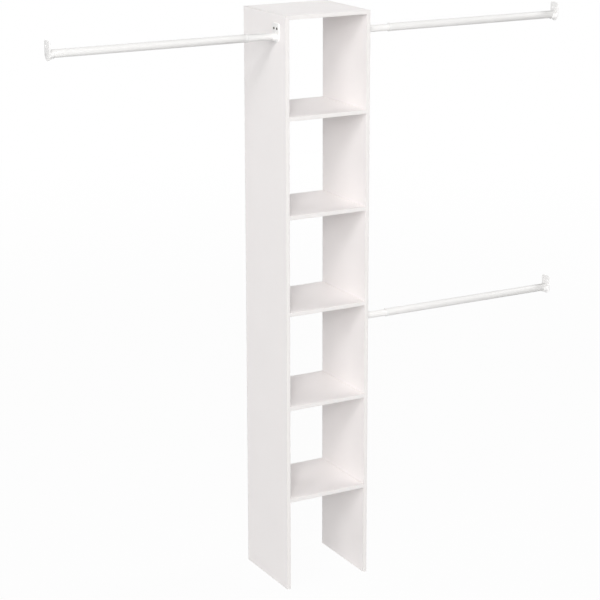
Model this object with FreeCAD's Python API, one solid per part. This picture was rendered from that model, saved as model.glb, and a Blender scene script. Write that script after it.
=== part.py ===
import FreeCAD, Part
import os

from FreeCAD import Vector

# Closet organizer: a tall open tower of laminated boards with three telescoping hang rods.
# Millimetres, +Z up, X across, front at -Y. Origin on the floor at the centre of the tower's base.

# Tower
board = 12.7
edge_band = 1.0
tower_width = 304.8
tower_depth = 285.0
bay_height = 306.5
bay_count = 6
lower_rod_shelf = 3

# Hang rods
rod_setback = 62.0
rod_drop = 56.5
rod_reach = 762.0
inner_tube_d = 22.2
tube_wall = 1.2
tube_slip = 0.4
bare_length = 102.0
closing_gap = 2.0
inner_tube_end_gap = 12.0
collar_length = 8.0
collar_lip = 1.5
collar_wall = 0.9
collar_slip = 0.05
collar_round = 0.4

# Rod flanges
flange_thickness = 3.0
flange_margin = 3.95
flange_corner = 8.0
flange_chamfer = 0.8
cradle_length = 15.0
cradle_rise = 5.0
cradle_root_wall = 4.2
cradle_rim_wall = 2.4
cradle_slip = 0.15
tube_end_gap = 0.5
flange_screw_rise = 24.0
flange_screw_spacing = 19.0
flange_above_screws = 17.0
flange_hole_slip = 0.3
wall_screw_hole_d = 4.8

# Wood screws
screw_shank_d = 3.6
screw_head_d = 8.0
screw_head_height = 2.4
screw_slip = 0.1
screw_skin = 2.0

# Cam locks and their bolts
cam_d = 12.0
cam_skin = 2.3
cam_slip = 0.15
cam_from_end = 24.0
cam_from_edge = 48.0
cam_slot_length = 7.5
cam_slot_width = 1.6
cam_slot_depth = 1.5
bolt_shank_d = 4.6
bolt_head_d = 5.8
bolt_head_length = 5.0
bolt_slip = 0.1
bolt_head_slip = 0.3
panel_skin = 2.2

# Dowels
dowel_d = 6.0
dowel_in_board = 18.0
dowel_from_edge = 48.0
dowel_slip = 0.05
hole_end_gap = 0.4

# Wall angles under the top panel
angle_width = 18.0
angle_leg = 26.0
angle_thickness = 2.0
angle_bend = 1.5
angle_from_side = 44.0
angle_hole_d = 5.0
angle_hole_from_tip = 9.0

# Derived places of the tower
bay_pitch = bay_height + board
tower_height = bay_count * bay_pitch
outer_x = tower_width / 2
inner_x = outer_x - board
front_y = -tower_depth / 2
back_y = tower_depth / 2
board_front_y = front_y + edge_band
undersides = [n * bay_pitch + bay_height for n in range(bay_count)]
board_names = ["shelf_%d" % (n + 1) for n in range(bay_count - 1)] + ["top_panel"]

# Derived sizes and places of the joinery
cam_pocket_depth = board - cam_skin
cam_height = cam_pocket_depth - cam_slip
cam_x = inner_x - cam_from_end
cam_row = back_y - cam_from_edge
bolt_hole_d = bolt_shank_d + 2 * bolt_slip
bolt_bore_d = bolt_head_d + 2 * bolt_head_slip
dowel_hole_d = dowel_d + 2 * dowel_slip
dowel_row = board_front_y + dowel_from_edge
panel_hole_depth = board - panel_skin
panel_bite = panel_hole_depth - hole_end_gap
screw_hole_d = screw_shank_d + 2 * screw_slip
screw_hole_depth = board - screw_skin
screw_bite = screw_hole_depth - hole_end_gap
angle_x = inner_x - angle_from_side
angle_hole_y = back_y - angle_leg + angle_hole_from_tip

# Derived sizes and places of the rods
outer_tube_bore_d = inner_tube_d + 2 * tube_slip
outer_tube_d = outer_tube_bore_d + 2 * tube_wall
collar_bore_d = outer_tube_d + 2 * collar_slip
collar_d = collar_bore_d + 2 * collar_wall
flange_width = outer_tube_d + 2 * (cradle_slip + cradle_root_wall + flange_margin)
flange_rise = flange_screw_rise + flange_above_screws
flange_hole_d = screw_shank_d + 2 * flange_hole_slip
closing_travel = bare_length - flange_thickness - cradle_length - closing_gap
inner_tube_start = outer_x + flange_thickness + tube_end_gap
inner_tube_end = outer_x + rod_reach - closing_travel - flange_thickness - inner_tube_end_gap
outer_tube_start = outer_x + bare_length + collar_lip
outer_tube_end = outer_x + rod_reach - flange_thickness - tube_end_gap
rod_y = front_y + rod_setback
upper_rod_z = undersides[-1] - rod_drop
lower_rod_z = undersides[lower_rod_shelf - 1] - rod_drop
rods = (("upper_left", -1, upper_rod_z), ("upper_right", 1, upper_rod_z), ("lower_right", 1, lower_rod_z))
flange_screw_rows = (rod_y - flange_screw_spacing / 2, rod_y + flange_screw_spacing / 2)

# Length by which a cutting shape passes the face that it opens
overrun = 1.0

ACROSS = Vector(1, 0, 0)
BACK = Vector(0, 1, 0)
UP = Vector(0, 0, 1)


def box(low, high):
    """A box between two opposite corners."""
    size = Vector(*high) - Vector(*low)
    return Part.makeBox(size.x, size.y, size.z, Vector(*low))


def bar(diameter, start, end, y=0.0, z=0.0):
    """A round bar along X from start to end."""
    return Part.makeCylinder(diameter / 2, end - start, Vector(start, y, z), ACROSS)


def turned(profile):
    """A solid of revolution about the X axis, from (x, radius) points."""
    points = [Vector(x, radius, 0) for x, radius in profile]
    return Part.Face(Part.makePolygon(points + points[:1])).revolve(Vector(), ACROSS, 360)


def moved(shape, x, y, z):
    copy = shape.copy()
    copy.translate(Vector(x, y, z))
    return copy


def handed(shape, side):
    """The shape as drawn for the right-hand side, or its mirror image for the left."""
    return shape if side > 0 else shape.mirror(Vector(), ACROSS)


def save(name, *shapes):
    shape = shapes[0] if len(shapes) == 1 else Part.makeCompound(shapes)
    shape.exportStep("parts/%s.step" % name)


def side_panel(side):
    """A full-height panel, bored inside for bolts and dowels and outside for flange screws."""
    holes = []
    for underside in undersides:
        for diameter, y in ((bolt_hole_d, cam_row), (dowel_hole_d, dowel_row)):
            holes.append(bar(diameter, inner_x - overrun, inner_x + panel_hole_depth,
                             y, underside + board / 2))
    for _, rod_side, z in rods:
        if rod_side == side:
            for y in flange_screw_rows:
                holes.append(bar(screw_hole_d, outer_x - screw_hole_depth, outer_x + overrun,
                                 y, z + flange_screw_rise))
    blank = box((inner_x, board_front_y, 0), (outer_x, back_y, tower_height))
    return handed(blank.cut(holes), side)


def cross_board():
    """A shelf or the top with its underside at z = 0, bored at each end for a cam and a dowel."""
    cam_pocket = Part.makeCylinder(cam_d / 2 + cam_slip, cam_pocket_depth + overrun,
                                   Vector(cam_x, cam_row, -overrun))
    bolt_bore = bar(bolt_bore_d, cam_x, inner_x + overrun, cam_row, board / 2)
    dowel_hole = bar(dowel_hole_d, inner_x - dowel_in_board - hole_end_gap, inner_x + overrun,
                     dowel_row, board / 2)
    holes = [handed(hole, side) for side in (-1, 1) for hole in (cam_pocket, bolt_bore, dowel_hole)]
    return box((-inner_x, board_front_y, 0), (inner_x, back_y, board)).cut(holes)


def cam_lock():
    """A disc, face down at z = 0, with a driver slot and a fork above that drops over the bolt's head."""
    disc = Part.makeCylinder(cam_d / 2, cam_height)
    fork = box((-bolt_bore_d / 2, -bolt_bore_d / 2, board / 2 - bolt_bore_d / 2),
               (cam_d / 2 + overrun, bolt_bore_d / 2, cam_height + overrun))
    slot = box((-cam_slot_width / 2, -cam_slot_length / 2, -overrun),
               (cam_slot_width / 2, cam_slot_length / 2, cam_slot_depth))
    return disc.cut([fork, slot])


def cam_bolt():
    """Head in the cam at x = 0, shank out through the board's end and into the side panel."""
    half_head = bolt_head_length / 2
    tip = cam_from_end + panel_bite
    return turned([
        (-half_head, 0),
        (-half_head, bolt_head_d / 2),
        (half_head, bolt_head_d / 2),
        (half_head, bolt_shank_d / 2),
        (tip, bolt_shank_d / 2),
        (tip, 0),
    ])


def screw(grip):
    """A screw with the seat of its head at x = 0 and its shank towards -X through the piece it grips."""
    tip = -grip - screw_bite
    return turned([
        (tip, 0),
        (tip, screw_shank_d / 2),
        (0, screw_shank_d / 2),
        (0, screw_head_d / 2),
        (screw_head_height, screw_head_d / 2),
        (screw_head_height, 0),
    ])


def wall_angle():
    """A bent steel strap: its corner at y = z = 0, one leg forward and one leg down."""
    section = Part.makePolygon([
        Vector(0, 0, 0),
        Vector(0, -angle_leg, 0),
        Vector(0, -angle_leg, -angle_thickness),
        Vector(0, -angle_thickness, -angle_thickness),
        Vector(0, -angle_thickness, -angle_leg),
        Vector(0, 0, -angle_leg),
        Vector(0, 0, 0),
    ])
    strap = moved(Part.Face(section).extrude(ACROSS * angle_width), -angle_width / 2, 0, 0)
    for depth, radius in ((angle_thickness, angle_bend), (0, angle_bend + angle_thickness)):
        corner = Vector(0, -depth, -depth)
        edges = [edge for edge in strap.Edges if edge.CenterOfMass.isEqual(corner, 1e-6)]
        strap = strap.makeFillet(radius, edges)
    hole = angle_leg - angle_hole_from_tip
    length = angle_thickness + 2 * overrun
    board_hole = Part.makeCylinder(angle_hole_d / 2, length, Vector(0, -hole, overrun), -UP)
    wall_hole = Part.makeCylinder(angle_hole_d / 2, length, Vector(0, overrun, -hole), -BACK)
    return strap.cut([board_hole, wall_hole])


def cradle_outline(x, radius, rise):
    """A U in the plane at x: half a circle round the rod's axis with straight sides up to rise."""
    left, right = Vector(x, -radius, 0), Vector(x, radius, 0)
    lift = UP * rise
    half_circle = Part.Arc(left, Vector(x, 0, -radius), right).toShape()
    sides = Part.makePolygon([right, right + lift, left + lift, left])
    return Part.Wire([half_circle] + sides.Edges)


def flange_plate():
    """The flat plate: round below the rod's axis, straight sides, rounded upper corners."""
    half = flange_width / 2
    blank = Part.Face(cradle_outline(0, half, flange_rise)).extrude(ACROSS * flange_thickness)
    corners = [edge for edge in blank.Edges
               if abs(edge.CenterOfMass.z - flange_rise) < 1e-6 and abs(edge.CenterOfMass.y) > half - 1e-6]
    plate = blank.makeFillet(flange_corner, corners)
    front = max(plate.Faces, key=lambda face: face.CenterOfMass.x)
    return plate.makeChamfer(flange_chamfer, front.Edges)


def flange(tube_d, hole_d):
    """A moulded flange on the plane x = 0 whose open-topped, tapered cradle carries a tube along X."""
    seat = tube_d / 2 + cradle_slip
    rim_x = flange_thickness + cradle_length
    root = cradle_outline(flange_thickness, seat + cradle_root_wall, cradle_rise)
    rim = cradle_outline(rim_x, seat + cradle_rim_wall, cradle_rise)
    hollow = Part.Face(cradle_outline(flange_thickness, seat, cradle_rise + overrun))
    cradle = Part.makeLoft([root, rim], True, True).cut(hollow.extrude(ACROSS * (cradle_length + overrun)))
    holes = [bar(hole_d, -overrun, flange_thickness + overrun, y, flange_screw_rise)
             for y in (-flange_screw_spacing / 2, flange_screw_spacing / 2)]
    return flange_plate().fuse(cradle).removeSplitter().cut(holes)


def tube(diameter, bore, start, end):
    return bar(diameter, start, end).cut(bar(bore, start - overrun, end + overrun))


def collar():
    """A ring over the outer tube's mouth, from x = 0, with a lip that guides the inner tube."""
    outside = collar_d / 2
    return turned([
        (0, outer_tube_bore_d / 2),
        (0, outside - collar_round),
        (collar_round, outside),
        (collar_length - collar_round, outside),
        (collar_length, outside - collar_round),
        (collar_length, collar_bore_d / 2),
        (collar_lip, collar_bore_d / 2),
        (collar_lip, outer_tube_bore_d / 2),
    ])


os.makedirs("parts", exist_ok=True)

# Side panels and the bands on their front edges
panel_band = box((inner_x, front_y, 0), (outer_x, board_front_y, tower_height))
for panel_name, side in (("left", -1), ("right", 1)):
    save(panel_name + "_side_panel", side_panel(side))
    save(panel_name + "_panel_edge_band", handed(panel_band, side))

# Shelves and the top between the sides, each with its front band
shelf = cross_board()
angle_screw_holes = [Part.makeCylinder(screw_hole_d / 2, screw_hole_depth + overrun,
                                       Vector(x, angle_hole_y, -overrun)) for x in (-angle_x, angle_x)]
board_band = box((-inner_x, front_y, 0), (inner_x, board_front_y, board))
for name, underside in zip(board_names, undersides):
    blank = shelf.cut(angle_screw_holes) if name == "top_panel" else shelf
    save(name, moved(blank, 0, 0, underside))
    save(name + "_edge_band", moved(board_band, 0, 0, underside))

# A cam lock, its bolt and a dowel in each end of every board
dowel = bar(dowel_d, inner_x - dowel_in_board, inner_x + panel_bite, dowel_row)
board_ends = [(side, underside) for underside in undersides for side in (-1, 1)]
save("cam_locks", *[handed(moved(cam_lock(), cam_x, cam_row, underside), side)
                    for side, underside in board_ends])
save("cam_bolts", *[handed(moved(cam_bolt(), cam_x, cam_row, underside + board / 2), side)
                    for side, underside in board_ends])
save("dowels", *[handed(moved(dowel, 0, 0, underside + board / 2), side)
                 for side, underside in board_ends])

# Wall angles under the back edge of the top, each with one screw up into it
top_underside = undersides[-1]
save("wall_angles", *[moved(wall_angle(), x, back_y, top_underside) for x in (-angle_x, angle_x)])
angle_screw = screw(angle_thickness)
angle_screw.rotate(Vector(), BACK, 90)
save("wall_angle_screws", *[moved(angle_screw, x, angle_hole_y, top_underside - angle_thickness)
                            for x in (-angle_x, angle_x)])

# Hang rods, each from the tower outwards
flange_screws = []
for rod, side, z in rods:
    pieces = {
        "tower_flange": moved(flange(inner_tube_d, flange_hole_d), outer_x, 0, 0),
        "inner_tube": tube(inner_tube_d, inner_tube_d - 2 * tube_wall, inner_tube_start, inner_tube_end),
        "collar": moved(collar(), outer_x + bare_length, 0, 0),
        "outer_tube": tube(outer_tube_d, outer_tube_bore_d, outer_tube_start, outer_tube_end),
    }
    wall_flange = flange(outer_tube_d, wall_screw_hole_d)
    wall_flange.rotate(Vector(), UP, 180)
    pieces["wall_flange"] = moved(wall_flange, outer_x + rod_reach, 0, 0)
    for piece, shape in pieces.items():
        save("%s_%s" % (rod, piece), handed(moved(shape, 0, rod_y, z), side))
    for y in flange_screw_rows:
        seated = moved(screw(flange_thickness), outer_x + flange_thickness, y, z + flange_screw_rise)
        flange_screws.append(handed(seated, side))
save("flange_screws", *flange_screws)
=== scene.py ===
import math

import bmesh
import bpy
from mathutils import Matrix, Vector


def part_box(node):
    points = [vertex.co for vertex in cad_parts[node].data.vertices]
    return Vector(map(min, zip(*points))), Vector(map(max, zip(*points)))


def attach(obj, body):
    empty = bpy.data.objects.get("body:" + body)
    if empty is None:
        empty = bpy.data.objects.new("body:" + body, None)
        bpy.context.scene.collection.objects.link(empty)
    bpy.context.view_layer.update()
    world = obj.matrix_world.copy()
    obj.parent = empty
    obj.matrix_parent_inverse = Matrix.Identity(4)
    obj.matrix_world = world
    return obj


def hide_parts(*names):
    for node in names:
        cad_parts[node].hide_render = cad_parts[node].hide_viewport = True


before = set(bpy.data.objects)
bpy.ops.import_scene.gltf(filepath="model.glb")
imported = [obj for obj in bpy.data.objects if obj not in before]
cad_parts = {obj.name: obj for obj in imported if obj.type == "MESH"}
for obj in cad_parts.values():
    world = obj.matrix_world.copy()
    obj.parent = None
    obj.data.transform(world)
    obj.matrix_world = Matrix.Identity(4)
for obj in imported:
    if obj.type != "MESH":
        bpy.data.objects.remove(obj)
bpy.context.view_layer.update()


# Side panels.
# Two full-height boards of particle board faced on both sides with white laminate. They are sawn to
# length, their arrises are eased, and they stand straight on the floor.

arris = 0.0004
arris_margin = 0.004
square_on = 0.999


def block(name, low, high):
    """A block between two corners, with its place in its mesh."""
    bpy.ops.object.select_all(action="DESELECT")
    bpy.ops.mesh.primitive_cube_add(size=1, location=(low + high) / 2)
    piece = bpy.context.object
    piece.name = name
    piece.scale = high - low
    bpy.ops.object.transform_apply(location=True, rotation=True, scale=True)
    return piece


def pick(piece, kind, wanted):
    """Goes to edit mode with just those points, edges or faces selected that pass a test."""
    bpy.ops.object.mode_set(mode="EDIT")
    bpy.ops.mesh.select_mode(type=kind)
    bpy.ops.mesh.select_all(action="DESELECT")
    shape = bmesh.from_edit_mesh(piece.data)
    for element in {"VERT": shape.verts, "EDGE": shape.edges, "FACE": shape.faces}[kind]:
        element.select_set(wanted(element))
    bmesh.update_edit_mesh(piece.data)


def shaded(piece, degrees=35):
    """Leaves edit mode and shades the piece smooth, apart from its sharp edges."""
    bpy.ops.object.mode_set(mode="OBJECT")
    bpy.ops.object.shade_smooth_by_angle(angle=math.radians(degrees))
    return piece


def extent(node):
    """A solid's length along each axis."""
    low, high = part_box(node)
    return high - low


def eased_board(name, size):
    """A sawn board from the origin, its arrises eased except under the band, with a margin inside them."""
    piece = block(name, Vector(), size)
    pick(piece, "EDGE", lambda edge: max(point.co.y for point in edge.verts) > arris)
    bpy.ops.mesh.bevel(offset=arris, segments=2, affect="EDGES")
    pick(piece, "FACE", lambda face: max(map(abs, face.normal)) > square_on)
    bpy.ops.mesh.inset(thickness=arris_margin, use_individual=True)
    return shaded(piece)


def mark_arrises(piece, size):
    """Gives points along a board's arrises the value 1 and all others 0, for the wear in its finish."""
    worn = piece.data.attributes.new("arris", "FLOAT", "POINT")
    for point, mark in zip(piece.data.vertices, worn.data):
        near = [min(at, length - at) < 2 * arris for at, length in zip(point.co, size)]
        mark.value = float(sum(near) > 1)


def set_down(pattern, name, place, turn=(0, 0, 0)):
    """A copy of a pattern with its own mesh, turned about the origin and moved to its place."""
    piece = pattern.copy()
    piece.data = pattern.data.copy()
    piece.name = name
    bpy.context.scene.collection.objects.link(piece)
    bpy.ops.object.select_all(action="DESELECT")
    piece.select_set(True)
    bpy.context.view_layer.objects.active = piece
    piece.location = place
    piece.rotation_euler = turn
    bpy.ops.object.transform_apply(location=True, rotation=True, scale=True)
    return piece


def fitted(piece, node, body):
    """Puts a modelled piece in a solid's stead, on the body that carries it."""
    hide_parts(node)
    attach(piece, body)


class Shade:
    """A shader socket in an expression: each operator on it adds a Math node to its finish."""

    def __init__(self, socket):
        self.socket = socket

    def node(self, kind, settings, values, out=0):
        """Any other node of the finish: its settings go first, then its sockets' values or links."""
        made = self.socket.id_data.nodes.new(kind)
        for name, setting in settings.items():
            setattr(made, name, setting)
        feed(made, values)
        return Shade(made.outputs[out])

    def maths(self, operation, first, second):
        return self.node("ShaderNodeMath", {"operation": operation}, {0: first, 1: second})

    def __add__(self, other):
        return self.maths("ADD", self, other)

    def __sub__(self, other):
        return self.maths("SUBTRACT", self, other)

    def __rsub__(self, other):
        return self.maths("SUBTRACT", other, self)

    def __mul__(self, other):
        return self.maths("MULTIPLY", self, other)

    __radd__ = __add__
    __rmul__ = __mul__


def feed(node, values):
    """Sets or links a node's sockets, given by name or number."""
    for name, value in values.items():
        if isinstance(value, Shade):
            node.id_data.links.new(value.socket, node.inputs[name])
        else:
            node.inputs[name].default_value = value


def new_finish(name):
    """A material with its surface shader, and the object coordinates that its patterns lie on."""
    material = bpy.data.materials.new(name)
    material.use_nodes = True
    nodes = material.node_tree.nodes
    place = Shade(nodes.new("ShaderNodeTexCoord").outputs["Object"])
    return material, nodes["Principled BSDF"], place


def noise(place, size, detail=2.0):
    """Soft random values from 0 to 1 with features of about that size in metres."""
    values = {"Vector": place, "Scale": 1 / size, "Detail": detail}
    return place.node("ShaderNodeTexNoise", {}, values, "Fac")


def stretched(place, scale):
    """Coordinates squeezed by a factor along each axis."""
    return place.node("ShaderNodeMapping", {}, {"Vector": place, "Scale": scale}, "Vector")


def ramp(value, start, end):
    """A smooth step from 0 at start to 1 at end."""
    values = {"Value": value, "From Min": start, "From Max": end}
    return value.node("ShaderNodeMapRange", {"interpolation_type": "SMOOTHSTEP"}, values, "Result")


def tinted(mask, first, second):
    """The first colour where the mask is 0, the second where it is 1."""
    # The Mix node's sockets share their names, so they are given by number.
    return mask.node("ShaderNodeMix", {"data_type": "RGBA"}, {0: mask, 6: first, 7: second}, 2)


def relief(height, depth):
    """A surface normal from a height pattern that stands so many metres high."""
    return height.node("ShaderNodeBump", {}, {"Height": height, "Distance": depth}, "Normal")


def paint(*levels):
    """A colour from the red, green and blue levels, 0 to 255, that a screen shows for it."""
    shares = [level / 255 for level in levels]
    return (*[s / 12.92 if s <= 0.04045 else ((s + 0.055) / 1.055) ** 2.4 for s in shares], 1.0)


def white_laminate(name, grain):
    """Satin melamine film with a fine pebble, faint pores along the grain and dulled arrises."""
    material, surface, place = new_finish(name)
    pebble = noise(place, size=0.0011, detail=3.0)
    pores = ramp(noise(stretched(place, grain), size=0.0005), start=0.54, end=0.70)
    clouds = noise(place, size=0.16, detail=3.0)
    handling = ramp(noise(place, size=0.045, detail=4.0), start=0.52, end=0.72)
    arrises = place.node("ShaderNodeAttribute", {"attribute_name": "arris"}, {}, "Fac")
    worn = arrises * ramp(noise(place, size=0.012, detail=4.0), start=0.35, end=0.65)
    white = tinted(clouds, paint(248, 244, 243), paint(245, 241, 240))
    white = tinted(pores * 0.25, white, paint(232, 228, 226))
    feed(surface, {
        "Base Color": tinted(worn * 0.35, white, paint(230, 223, 217)),
        "Roughness": 0.36 + clouds * 0.08 + handling * 0.06 + pores * 0.08 + worn * 0.15,
        "Normal": relief(pebble * 0.7 + clouds * 0.1 - pores * 0.5, depth=0.00006),
    })
    return material


def coat(piece, material):
    """Gives a modelled piece its one finish."""
    piece.data.materials.clear()
    piece.data.materials.append(material)


upright_laminate = white_laminate("white_laminate_upright", grain=(1.0, 1.0, 0.04))

panel_size = extent("left_side_panel")
panel_pattern = eased_board("panel_pattern", panel_size)
mark_arrises(panel_pattern, panel_size)
coat(panel_pattern, upright_laminate)
for side in ("left", "right"):
    node = side + "_side_panel"
    panel = set_down(panel_pattern, side + "_panel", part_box(node)[0])
    fitted(panel, node, "tower")
bpy.data.objects.remove(panel_pattern)


# Bands on the front edges of the side panels.
# A strip of white plastic a millimetre thick, glued over the sawn edge and trimmed flush, with its
# two front arrises rounded by the trimming cutter.

band_round = 0.0007


def edge_band(name, size):
    """A strip from the origin with the two long arrises of its front rounded."""
    piece = block(name, Vector(), size)

    def long_and_in_front(edge):
        first, second = [point.co for point in edge.verts]
        return (second - first).length > max(size) / 2 and first.y < band_round

    pick(piece, "EDGE", long_and_in_front)
    bpy.ops.mesh.bevel(offset=band_round, segments=4, affect="EDGES")
    return shaded(piece)


def white_band(name, along):
    """Smooth plastic with faint lines along its length from the extrusion, and a slight sheen."""
    material, surface, place = new_finish(name)
    lines = noise(stretched(place, along), size=0.0006)
    clouds = noise(place, size=0.09, detail=3.0)
    scuffs = ramp(noise(place, size=0.018, detail=5.0), start=0.60, end=0.75)
    # The band's white is set greyer than the laminate's: partly the plastic's own tone, partly painted
    # shade that holds down the brighter light on the front edges.
    white = tinted(clouds, paint(234, 231, 229), paint(231, 228, 226))
    feed(surface, {
        "Base Color": tinted(scuffs * 0.3, white, paint(226, 222, 218)),
        "Roughness": 0.30 + lines * 0.06 + clouds * 0.06 + scuffs * 0.15,
        "Normal": relief(lines * 0.6 + clouds * 0.2, depth=0.00003),
    })
    return material


upright_band = white_band("white_band_upright", along=(1.0, 1.0, 0.01))

band_pattern = edge_band("panel_band_pattern", extent("left_panel_edge_band"))
coat(band_pattern, upright_band)
for side in ("left", "right"):
    node = side + "_panel_edge_band"
    band = set_down(band_pattern, side + "_panel_band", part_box(node)[0])
    fitted(band, node, "tower")
bpy.data.objects.remove(band_pattern)


# Shelves and top.
# Five shelves and the top are cut from the same laminated board and set between the side panels.
# Each has two round pockets bored in its underside for the cam locks that draw it tight.

shelf_count = 5
cam_slip = 0.00015
pocket_depth = 0.0104
boards = ["shelf_%d" % (number + 1) for number in range(shelf_count)] + ["top_panel"]


def carved(piece, tool, operation):
    """Joins a tool body to the piece, or cuts it away, and takes the tool off."""
    bpy.ops.object.select_all(action="DESELECT")
    piece.select_set(True)
    bpy.context.view_layer.objects.active = piece
    bpy.ops.object.modifier_add(type="BOOLEAN")
    change = piece.modifiers[-1]
    change.operation = operation
    change.solver = "MANIFOLD"
    change.object = tool
    bpy.ops.object.modifier_apply(modifier=change.name)
    bpy.data.objects.remove(tool)


def drum(name, radius, start, end, sides=48):
    """A round bar between two points, one straight along X or Z from the other."""
    bpy.ops.object.select_all(action="DESELECT")
    turn = (0, math.pi / 2, 0) if abs(end.x - start.x) > 0 else (0, 0, 0)
    bpy.ops.mesh.primitive_cylinder_add(vertices=sides, radius=radius, depth=(end - start).length,
                                        location=(start + end) / 2, rotation=turn)
    piece = bpy.context.object
    piece.name = name
    bpy.ops.object.transform_apply(location=True, rotation=True, scale=True)
    return piece


across_laminate = white_laminate("white_laminate_across", grain=(0.04, 1.0, 1.0))
board_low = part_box(boards[0])[0]
board_size = extent(boards[0])
cams_low, cams_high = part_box("cam_locks")
cam_radius = (cams_high.y - cams_low.y) / 2
cam_row = cams_low.y + cam_radius - board_low.y

board_pattern = eased_board("board_pattern", board_size)
for cam_x in (cams_low.x + cam_radius, cams_high.x - cam_radius):
    below = Vector((cam_x - board_low.x, cam_row, -pocket_depth))
    pocket_floor = Vector((cam_x - board_low.x, cam_row, pocket_depth))
    carved(board_pattern, drum("pocket", cam_radius + cam_slip, below, pocket_floor), "DIFFERENCE")
shaded(board_pattern)
mark_arrises(board_pattern, board_size)
coat(board_pattern, across_laminate)
for node in boards:
    board = set_down(board_pattern, node + "_board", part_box(node)[0])
    fitted(board, node, "tower")
bpy.data.objects.remove(board_pattern)


# Bands on the front edges of the shelves and the top.
# The same white plastic strip as on the panels, cut to length between them, glued over each board's
# sawn front edge and trimmed flush.

across_band = white_band("white_band_across", along=(0.01, 1.0, 1.0))

band_pattern = edge_band("board_band_pattern", extent(boards[0] + "_edge_band"))
coat(band_pattern, across_band)
for board_name in boards:
    node = board_name + "_edge_band"
    band = set_down(band_pattern, board_name + "_band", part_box(node)[0])
    fitted(band, node, "tower")
bpy.data.objects.remove(band_pattern)


# Dowels, cam bolts and cam locks.
# Beech dowels locate each board end, plated bolts screwed into the panels run into the board, and
# die-cast cams turned a half turn in the underside draw the bolts in. Only the cams' faces show.


def coat_node(node, material):
    """Gives a carried-over solid its finish."""
    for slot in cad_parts[node].material_slots:
        slot.material = material


def beech():
    """Bare turned beech: straight brown grain and short dark flecks along the dowel."""
    material, surface, place = new_finish("bare_beech")
    grain = noise(stretched(place, (0.05, 1.0, 1.0)), size=0.0007, detail=3.0)
    flecks = ramp(noise(stretched(place, (0.2, 1.0, 1.0)), size=0.0005), start=0.62, end=0.72)
    wood = tinted(grain, paint(214, 178, 132), paint(232, 200, 158))
    feed(surface, {
        "Base Color": tinted(flecks * 0.6, wood, paint(176, 132, 90)),
        "Roughness": 0.55 + grain * 0.15,
        "Normal": relief(grain - flecks * 0.4, depth=0.00008),
    })
    return material


def plated_metal(name, light, dark, roughness, grain):
    """Plated metal: a cloudy grey with fine tool lines and duller patches."""
    material, surface, place = new_finish(name)
    lines = noise(stretched(place, grain), size=0.0005)
    clouds = noise(place, size=0.006, detail=4.0)
    dull = ramp(noise(place, size=0.003, detail=3.0), start=0.5, end=0.7)
    feed(surface, {
        "Metallic": 1.0,
        "Base Color": tinted(clouds * 0.7 + dull * 0.3, light, dark),
        "Roughness": roughness + lines * 0.10 + dull * 0.12,
        "Normal": relief(lines * 0.6 + clouds * 0.4, depth=0.00003),
    })
    return material


die_cast = plated_metal("die_cast_zinc", paint(196, 197, 199), paint(168, 169, 172),
                        roughness=0.38, grain=(1.0, 1.0, 1.0))
zinc_plate = plated_metal("zinc_plate", paint(206, 207, 208), paint(182, 184, 188),
                          roughness=0.26, grain=(0.06, 1.0, 1.0))
coat_node("dowels", beech())
coat_node("cam_bolts", zinc_plate)
coat_node("cam_locks", die_cast)


# Wall angles.
# Two straps of plated steel bent square under the back of the top, one hole in each leg: a screw up
# into the top, and a hole left for the screw into the wall behind.

coat_node("wall_angles", zinc_plate)


# Flange screws and angle screws.
# Pan-head steel screws with a cross recess. Two dull grey ones hold each flange on the tower, and one
# with a brighter zinc plate holds each wall angle under the top.

head_radius = 0.004
head_height = 0.0024
head_dome = 0.0017
shank_radius = 0.0018
shank_length = 0.012
recess_length = 0.0044
recess_width = 0.0009
recess_depth = 0.0013
recess_taper = 0.6
screw_sides = 40
touch = 1e-6


def across_x(place):
    """A test for edges that lie across X at one place."""
    return lambda edge: all(abs(point.co.x - place) < touch for point in edge.verts)


def looking(*direction):
    """A test for faces that look along a direction."""
    return lambda face: face.normal.dot(Vector(direction)) > square_on


def cross_screw(name):
    """A screw along +X with the seat of its head at the origin."""
    piece = drum(name, head_radius, Vector(), Vector((head_height, 0, 0)), screw_sides)
    pick(piece, "EDGE", across_x(head_height))
    bpy.ops.mesh.bevel(offset=head_dome, segments=5, affect="EDGES")
    pick(piece, "FACE", looking(-1, 0, 0))
    bpy.ops.mesh.inset(thickness=head_radius - shank_radius)
    bpy.ops.mesh.extrude_region_move(TRANSFORM_OT_translate={"value": (-shank_length, 0, 0)})
    bpy.ops.object.mode_set(mode="OBJECT")
    for length, width in ((recess_length, recess_width), (recess_width, recess_length)):
        low = Vector((head_height - recess_depth, -length / 2, -width / 2))
        high = Vector((head_height + recess_depth, length / 2, width / 2))
        blade = block("blade", low, high)
        pick(blade, "FACE", looking(-1, 0, 0))
        bpy.ops.transform.resize(value=(1, recess_taper, recess_taper), center_override=(low + high) / 2)
        bpy.ops.object.mode_set(mode="OBJECT")
        carved(piece, blade, "DIFFERENCE")
    return shaded(piece)


def joined(name, pieces):
    """Several pieces as one object."""
    bpy.ops.object.select_all(action="DESELECT")
    for piece in pieces:
        piece.select_set(True)
    bpy.context.view_layer.objects.active = pieces[0]
    bpy.ops.object.join()
    pieces[0].name = name
    return pieces[0]


def middle_of(node):
    """The middle of a solid."""
    low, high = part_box(node)
    return (low + high) / 2


rods = {"upper_left": -1, "upper_right": 1, "lower_right": 1}
facing = {1: 0.0, -1: math.pi}
plate_thickness = 0.003
screw_rise = 0.024
screw_spread = 0.0095
screw_turns = {-1: 0.12, 1: 0.47}

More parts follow.
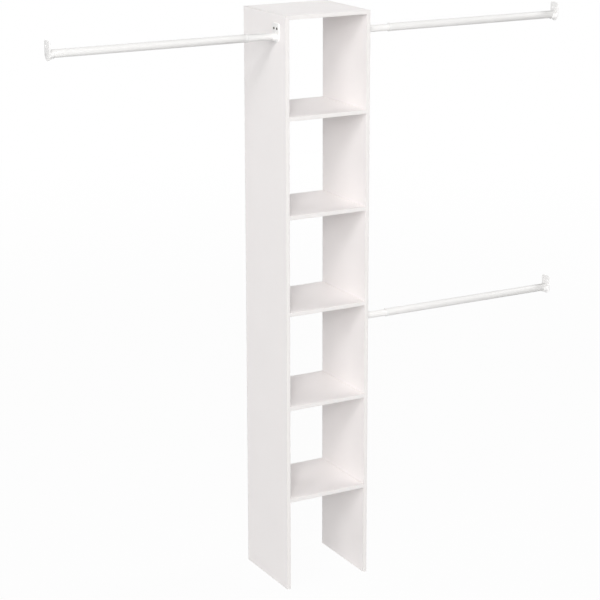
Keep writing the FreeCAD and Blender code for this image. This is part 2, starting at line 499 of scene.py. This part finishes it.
dull_steel = plated_metal("dull_steel", paint(120, 118, 115), paint(92, 90, 87),
                          roughness=0.46, grain=(1.0, 1.0, 1.0))
screw_pattern = cross_screw("screw_pattern")
coat(screw_pattern, dull_steel)
plate_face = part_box("right_side_panel")[1].x + plate_thickness
flange_screws = []
for rod, side in rods.items():
    axis = middle_of(rod + "_inner_tube")
    for row, screw_turn in screw_turns.items():
        seat = (side * plate_face, axis.y + row * screw_spread, axis.z + screw_rise)
        flange_screws.append(set_down(screw_pattern, "flange_screw", seat, (screw_turn, 0, facing[side])))
screws = joined("flange_screw_set", flange_screws)
fitted(screws, "flange_screws", "tower")

low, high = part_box("wall_angle_screws")
upwards = (0, math.pi / 2, 0)
angle_screws = []
for x in (low.x + head_radius, high.x - head_radius):
    seat = (x, (low.y + high.y) / 2, low.z + head_height)
    angle_screws.append(set_down(screw_pattern, "angle_screw", seat, upwards))
screws = joined("angle_screw_set", angle_screws)
coat(screws, zinc_plate)
fitted(screws, "wall_angle_screws", "tower")
bpy.data.objects.remove(screw_pattern)


# Flanges.
# Moulded white plastic plates, round below the rod and square above it, with two countersunk screw
# holes and an open-topped cradle that tapers to its rim. The rod is dropped in from above.

flange_corner = 0.008
flange_lip = 0.0011
flange_back_round = 0.0003
flange_foot = 0.00004
cradle_rise = 0.005
cradle_root = 0.0042
cradle_rim = 0.0024
cradle_slip = 0.00015
cradle_lip = 0.0008
cradle_bite = 0.001
root_round = 0.0015
root_steps = 5
tower_hole = 0.0021
wall_hole = 0.0024
countersink = 0.0011
drill_over = 0.001
drill_sides = 32
flange_size = extent("upper_right_tower_flange")
flange_half = flange_size.y / 2
flange_rise = flange_size.z - flange_half
cradle_length = flange_size.x - plate_thickness


def flange_plate(name):
    """The plate with its back on x = 0, about a rod that lies along X."""
    piece = block(name, Vector((0, -flange_half, -flange_half)),
                  Vector((plate_thickness, flange_half, flange_rise)))
    foot_round = flange_half - flange_foot / 2
    for z, radius, steps in ((-flange_half, foot_round, 20), (flange_rise, flange_corner, 10)):
        pick(piece, "EDGE", lambda edge: all(abs(point.co.z - z) < touch for point in edge.verts)
             and abs(edge.verts[0].co.y - edge.verts[1].co.y) < touch)
        bpy.ops.mesh.bevel(offset=radius, segments=steps, affect="EDGES")
    for x, radius, steps in ((plate_thickness, flange_lip, 4), (0, flange_back_round, 2)):
        pick(piece, "EDGE", across_x(x))
        bpy.ops.mesh.bevel(offset=radius, segments=steps, affect="EDGES")
    bpy.ops.object.mode_set(mode="OBJECT")
    return piece


def cradle_section(name, seat, root_x, rim_x):
    """One side of the cradle's wall cut level with the rod, thick at the root and round at its thin rim."""
    bpy.ops.object.select_all(action="DESELECT")
    bpy.ops.mesh.primitive_plane_add(size=1, location=((root_x + rim_x) / 2, seat + cradle_root / 2, 0))
    piece = bpy.context.object
    piece.name = name
    piece.scale = (rim_x - root_x, cradle_root, 1)
    bpy.ops.object.transform_apply(location=True, rotation=True, scale=True)
    pick(piece, "VERT", lambda point: point.co.x > rim_x - touch and point.co.y > seat + cradle_root / 2)
    bpy.ops.transform.translate(value=(0, cradle_rim - cradle_root, 0))
    pick(piece, "VERT", lambda point: point.co.x > rim_x - touch)
    bpy.ops.mesh.bevel(offset=cradle_lip, segments=4, affect="VERTICES")
    return piece


def cradle(name, seat):
    """The wall spun half round below the rod, swept out at its root, with straight sides past the axis."""
    root_x = plate_thickness + root_round
    piece = cradle_section(name, seat, root_x, plate_thickness + cradle_length)
    angles = [math.pi / 2 * step / root_steps for step in range(root_steps + 1)]
    sweep = [
        (root_round * (math.sin(end) - math.sin(start)), root_round * (math.cos(start) - math.cos(end)))
        for start, end in zip(angles, angles[1:])
    ]
    for run, rise in sweep + [(cradle_bite, 0)]:
        pick(piece, "EDGE", across_x(root_x))
        bpy.ops.mesh.extrude_region_move(TRANSFORM_OT_translate={"value": (-run, 0, 0)})
        root_x -= run
        pick(piece, "VERT", lambda point: abs(point.co.x - root_x) < touch and point.co.y > seat + touch)
        bpy.ops.transform.translate(value=(0, rise, 0))
    bpy.ops.mesh.select_mode(type="FACE")
    bpy.ops.mesh.select_all(action="SELECT")
    bpy.ops.mesh.spin(steps=40, angle=math.pi, center=(0, 0, 0), axis=(1, 0, 0))
    bpy.ops.mesh.select_all(action="SELECT")
    bpy.ops.mesh.remove_doubles(threshold=touch)
    bpy.ops.mesh.normals_make_consistent(inside=False)
    pick(piece, "FACE", lambda face: abs(face.normal.z) > square_on
         and abs(face.calc_center_median().z) < touch)
    bpy.ops.mesh.extrude_region_move(TRANSFORM_OT_translate={"value": (0, 0, cradle_rise)})
    bpy.ops.mesh.select_all(action="SELECT")
    bpy.ops.mesh.normals_make_consistent(inside=False)
    bpy.ops.object.mode_set(mode="OBJECT")
    return piece


def moulded_flange(name, seat, hole):
    """A flange on the plane x = 0 for a tube along X."""
    piece = flange_plate(name)
    carved(piece, cradle("cradle", seat + cradle_slip), "UNION")
    for y in (-screw_spread, screw_spread):
        start = Vector((-drill_over, y, screw_rise))
        end = Vector((plate_thickness + drill_over, y, screw_rise))
        drill = drum("drill", hole, start, end, drill_sides)
        pick(drill, "FACE", looking(1, 0, 0))
        bpy.ops.transform.translate(value=(-drill_over - countersink, 0, 0))
        bpy.ops.mesh.extrude_region_move(TRANSFORM_OT_translate={"value": (countersink + drill_over, 0, 0)})
        grow = 1 + (countersink + drill_over) / hole
        bpy.ops.transform.resize(value=(1, grow, grow), center_override=end)
        bpy.ops.object.mode_set(mode="OBJECT")
        carved(piece, drill, "DIFFERENCE")
    return shaded(piece, degrees=30)


def white_moulding(name, light, dark):
    """Moulded plastic: a fine spark-eroded grain, faint flow clouds and a soft gloss."""
    material, surface, place = new_finish(name)
    grain = noise(place, size=0.0005)
    flow = noise(place, size=0.011, detail=3.0)
    rubbed = ramp(noise(place, size=0.005, detail=4.0), start=0.55, end=0.75)
    feed(surface, {
        "Base Color": tinted(flow, light, dark),
        "Roughness": 0.27 + flow * 0.08 + rubbed * 0.10,
        "Normal": relief(grain * 0.6 + flow * 0.4, depth=0.000012),
    })
    return material


flange_white = white_moulding("white_moulding", paint(243, 242, 241), paint(240, 239, 238))
inner_radius = extent("upper_left_inner_tube").z / 2
outer_radius = extent("upper_left_outer_tube").z / 2
flange_patterns = {
    "tower": moulded_flange("tower_pattern", inner_radius, tower_hole),
    "wall": moulded_flange("wall_pattern", outer_radius, wall_hole),
}
for kind, flange_pattern in flange_patterns.items():
    coat(flange_pattern, flange_white)
    for rod, side in rods.items():
        node = "%s_%s_flange" % (rod, kind)
        axis = middle_of(rod + "_inner_tube")
        inwards = side if kind == "tower" else -side
        low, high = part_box(node)
        place = (low.x if inwards > 0 else high.x, axis.y, axis.z)
        flange = set_down(flange_pattern, "%s_%s_moulding" % (rod, kind), place, (0, 0, facing[inwards]))
        fitted(flange, node, "tower" if kind == "tower" else rod + "_sleeve")
    bpy.data.objects.remove(flange_pattern)


# Rod tubes.
# Each rod is two thin steel tubes that telescope, rolled, seam-welded and enamelled white. The inner one
# lies in the tower's flange, the outer one in the flange on the wall.

tube_wall = 0.0012
tube_arris = 0.0003
tube_sides = 96


def steel_tube(name, length, radius):
    """A thin tube along X from the origin, its cut ends eased and its weld marked along the underside."""
    piece = drum(name, radius, Vector(), Vector((length, 0, 0)), tube_sides)
    pick(piece, "FACE", lambda face: abs(face.normal.x) > square_on)
    bpy.ops.mesh.inset(thickness=tube_wall, use_individual=True)
    bpy.ops.mesh.bridge_edge_loops()
    pick(piece, "EDGE", lambda edge: abs(edge.verts[0].co.x - edge.verts[1].co.x) < touch
         and abs(edge.verts[0].co.yz.length - edge.verts[1].co.yz.length) < touch)
    bpy.ops.mesh.bevel(offset=tube_arris, segments=2, affect="EDGES")
    bpy.ops.mesh.select_all(action="SELECT")
    bpy.ops.mesh.normals_make_consistent(inside=False)
    shaded(piece, degrees=30)
    weld = piece.data.attributes.new("weld", "FLOAT", "POINT")
    for point, mark in zip(piece.data.vertices, weld.data):
        mark.value = float(abs(point.co.y) < radius / tube_sides and point.co.z < 0)
    return piece


def white_enamel(name, light, dark, slid):
    """Baked enamel with a slight orange peel over the weld, and, where a tube slides, long fine scuffs."""
    material, surface, place = new_finish(name)
    weld = place.node("ShaderNodeAttribute", {"attribute_name": "weld"}, {}, "Fac")
    bead = ramp(weld, start=0.2, end=1.0)
    peel = noise(place, size=0.0016)
    clouds = noise(place, size=0.05, detail=3.0)
    streaks = noise(stretched(place, (0.012, 1.0, 1.0)), size=0.0008, detail=3.0)
    scuffs = ramp(streaks, start=0.58, end=0.70)
    patches = ramp(noise(place, size=0.06, detail=3.0), start=0.45, end=0.65)
    marks = scuffs * patches * slid
    white = tinted(clouds, light, dark)
    feed(surface, {
        "Base Color": tinted(marks * 0.5, white, paint(208, 207, 205)),
        "Roughness": 0.50 + clouds * 0.08 + marks * 0.2,
        "Coat Weight": 0.10 - marks * 0.09,
        "Coat Roughness": 0.25,
        "Normal": relief(peel * 0.5 + clouds * 0.2 + bead * 2.0, depth=0.00005),
    })
    return material


# The inner tubes' enamel is set lighter than the outer tubes': painted light that stands in for the
# brighter light on the inner tubes.
inner_enamel_painted_light = white_enamel("white_enamel_inner", paint(238, 237, 236), paint(235, 234, 232), slid=1.0)
outer_enamel = white_enamel("white_enamel_outer", paint(228, 227, 226), paint(225, 224, 222), slid=0.35)

for kind, enamel, radius in (("inner", inner_enamel_painted_light, inner_radius), ("outer", outer_enamel, outer_radius)):
    tube_pattern = steel_tube("tube_pattern", extent("upper_left_%s_tube" % kind).x, radius)
    coat(tube_pattern, enamel)
    for rod in rods:
        node = "%s_%s_tube" % (rod, kind)
        axis = middle_of(node)
        tube = set_down(tube_pattern, node + "_steel", (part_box(node)[0].x, axis.y, axis.z))
        fitted(tube, node, "tower" if kind == "inner" else rod + "_sleeve")
    bpy.data.objects.remove(tube_pattern)


# Collars.
# A white plastic ring is pushed over each outer tube's mouth. It hides the cut edge, its nose is round,
# and its inner lip guides the inner tube.

collar_round = 0.0006
collar_nose = 0.0014
collar_lip = 0.0015
lip_lead = 0.0006
lip_slip = 0.0004
collar_slip = 0.00005


def mouth_collar(name, length, outside):
    """A ring along X from the origin, with a round nose and a lip inside it that guides the inner tube."""
    bore = outer_radius + collar_slip
    guide = inner_radius + lip_slip
    piece = drum(name, outside, Vector(), Vector((length, 0, 0)), tube_sides)
    for x, radius in ((0, collar_nose), (length, collar_round)):
        pick(piece, "EDGE", across_x(x))
        bpy.ops.mesh.bevel(offset=radius, segments=5, affect="EDGES")
    pick(piece, "FACE", looking(1, 0, 0))
    bpy.ops.mesh.inset(thickness=outside - collar_round - bore)
    pick(piece, "FACE", looking(-1, 0, 0))
    bpy.ops.mesh.inset(thickness=outside - collar_nose - guide - lip_lead)
    for deeper, radius in ((lip_lead, guide), (collar_lip - lip_lead, guide), (0, bore)):
        bpy.ops.mesh.extrude_region_move(TRANSFORM_OT_translate={"value": (deeper, 0, 0)})
        shape = bmesh.from_edit_mesh(piece.data)
        reach = max(point.co.yz.length for point in shape.verts if point.select)
        bpy.ops.transform.resize(value=(1, radius / reach, radius / reach), center_override=(0, 0, 0))
    pick(piece, "FACE", lambda face: abs(face.normal.x) > square_on and len(face.verts) > 4)
    bpy.ops.mesh.bridge_edge_loops()
    bpy.ops.mesh.select_all(action="SELECT")
    bpy.ops.mesh.normals_make_consistent(inside=False)
    return shaded(piece, degrees=30)


collar_white = white_moulding("collar_moulding", paint(230, 229, 228), paint(227, 226, 225))
collar_size = extent("upper_right_collar")
collar_pattern = mouth_collar("collar_pattern", collar_size.x, collar_size.z / 2)
coat(collar_pattern, collar_white)
for rod, side in rods.items():
    node = rod + "_collar"
    low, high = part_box(node)
    axis = middle_of(node)
    mouth = (low.x if side > 0 else high.x, axis.y, axis.z)
    collar = set_down(collar_pattern, rod + "_ring", mouth, (0, 0, facing[side]))
    fitted(collar, node, rod + "_sleeve")
bpy.data.objects.remove(collar_pattern)


# Floor and light.
# A plain pale floor that shows white and keeps the soft shadow, a white room all round, and large soft
# lamps far off: three in front on the left, one on the right and a weak one behind on the left.

floor_size = 60.0
floor_glow = 0.96
shadow_reach = (2.5, 7.0)
floor_drop = 0.0003
room_fill = 0.22
plain_white = (1, 1, 1, 1)
lamp_reach = 16.0
lamp_size = 4.5

bpy.ops.object.select_all(action="DESELECT")
bpy.ops.mesh.primitive_plane_add(size=floor_size, location=(0, 0, -floor_drop))
ground = bpy.context.object
ground.name = "floor"


def seen_directly(place):
    """1 for rays that show the background: straight from the camera, mirrored or through glass."""
    seen = place.node("ShaderNodeLightPath", {}, {}, "Is Camera Ray")
    for ray in ("Is Glossy Ray", "Is Transmission Ray"):
        seen = place.maths("MAXIMUM", seen, place.node("ShaderNodeLightPath", {}, {}, ray))
    return seen


floor_white, surface, place = new_finish("floor_white")
feed(surface, {"Base Color": paint(212, 212, 212), "Roughness": 0.9, "Specular IOR Level": 0.0})
glow = place.node("ShaderNodeEmission", {}, {"Color": plain_white, "Strength": 1.0})
away = place.node("ShaderNodeVectorMath", {"operation": "LENGTH"}, {0: place}, "Value")
mix = place.node("ShaderNodeMixShader", {}, {
    0: seen_directly(place) * (floor_glow + ramp(away, *shadow_reach) * (1 - floor_glow)),
    1: Shade(surface.outputs[0]),
    2: glow,
})
feed(floor_white.node_tree.nodes["Material Output"], {"Surface": mix})
coat(ground, floor_white)

room = bpy.data.worlds.new("white_room")
room.use_nodes = True
bpy.context.scene.world = room
shown = seen_directly(Shade(room.node_tree.nodes.new("ShaderNodeTexCoord").outputs["Object"]))
feed(room.node_tree.nodes["Background"], {
    "Color": plain_white,
    "Strength": room_fill + shown * (1 - room_fill),
})

tower_middle = Vector((0, 0, panel_size.z / 2))
lamps = {
    "front_low": {"swing": 30, "rise": 20, "power": 1210},
    "front_high": {"swing": 30, "rise": 40, "power": 660},
    "left": {"swing": 60, "rise": 30, "power": 420},
    "right": {"swing": -90, "rise": 30, "power": 1140},
    "back_left": {"swing": 140, "rise": 35, "power": 160},
}
for name, plan in lamps.items():
    bpy.ops.object.light_add(type="AREA")
    lamp = bpy.context.object
    lamp.name = name
    lamp.rotation_euler = (math.radians(90 - plan["rise"]), 0, -math.radians(plan["swing"]))
    lamp.location = tower_middle + lamp_reach * (lamp.rotation_euler.to_matrix() @ Vector((0, 0, 1)))
    lamp.data.size = lamp_size
    lamp.data.energy = plan["power"]


# Camera.
# It stands to the left of the tower and well above its middle, much as for the photograph, and looks
# slightly down through a long lens.

camera_place = (-2.9407, -5.3239, 2.7044)
camera_yaw = 29.060
camera_tilt = 14.320
camera_lens = 114.66
camera_sensor = 36.0
camera_shift = (-0.0191, -0.100)

bpy.ops.object.camera_add(location=camera_place,
                          rotation=(math.radians(90 - camera_tilt), 0, -math.radians(camera_yaw)))
camera = bpy.context.object
camera.data.lens = camera_lens
camera.data.sensor_width = camera_sensor
camera.data.shift_x, camera.data.shift_y = camera_shift
bpy.context.scene.camera = camera
bpy.context.scene.view_settings.view_transform = "Standard"
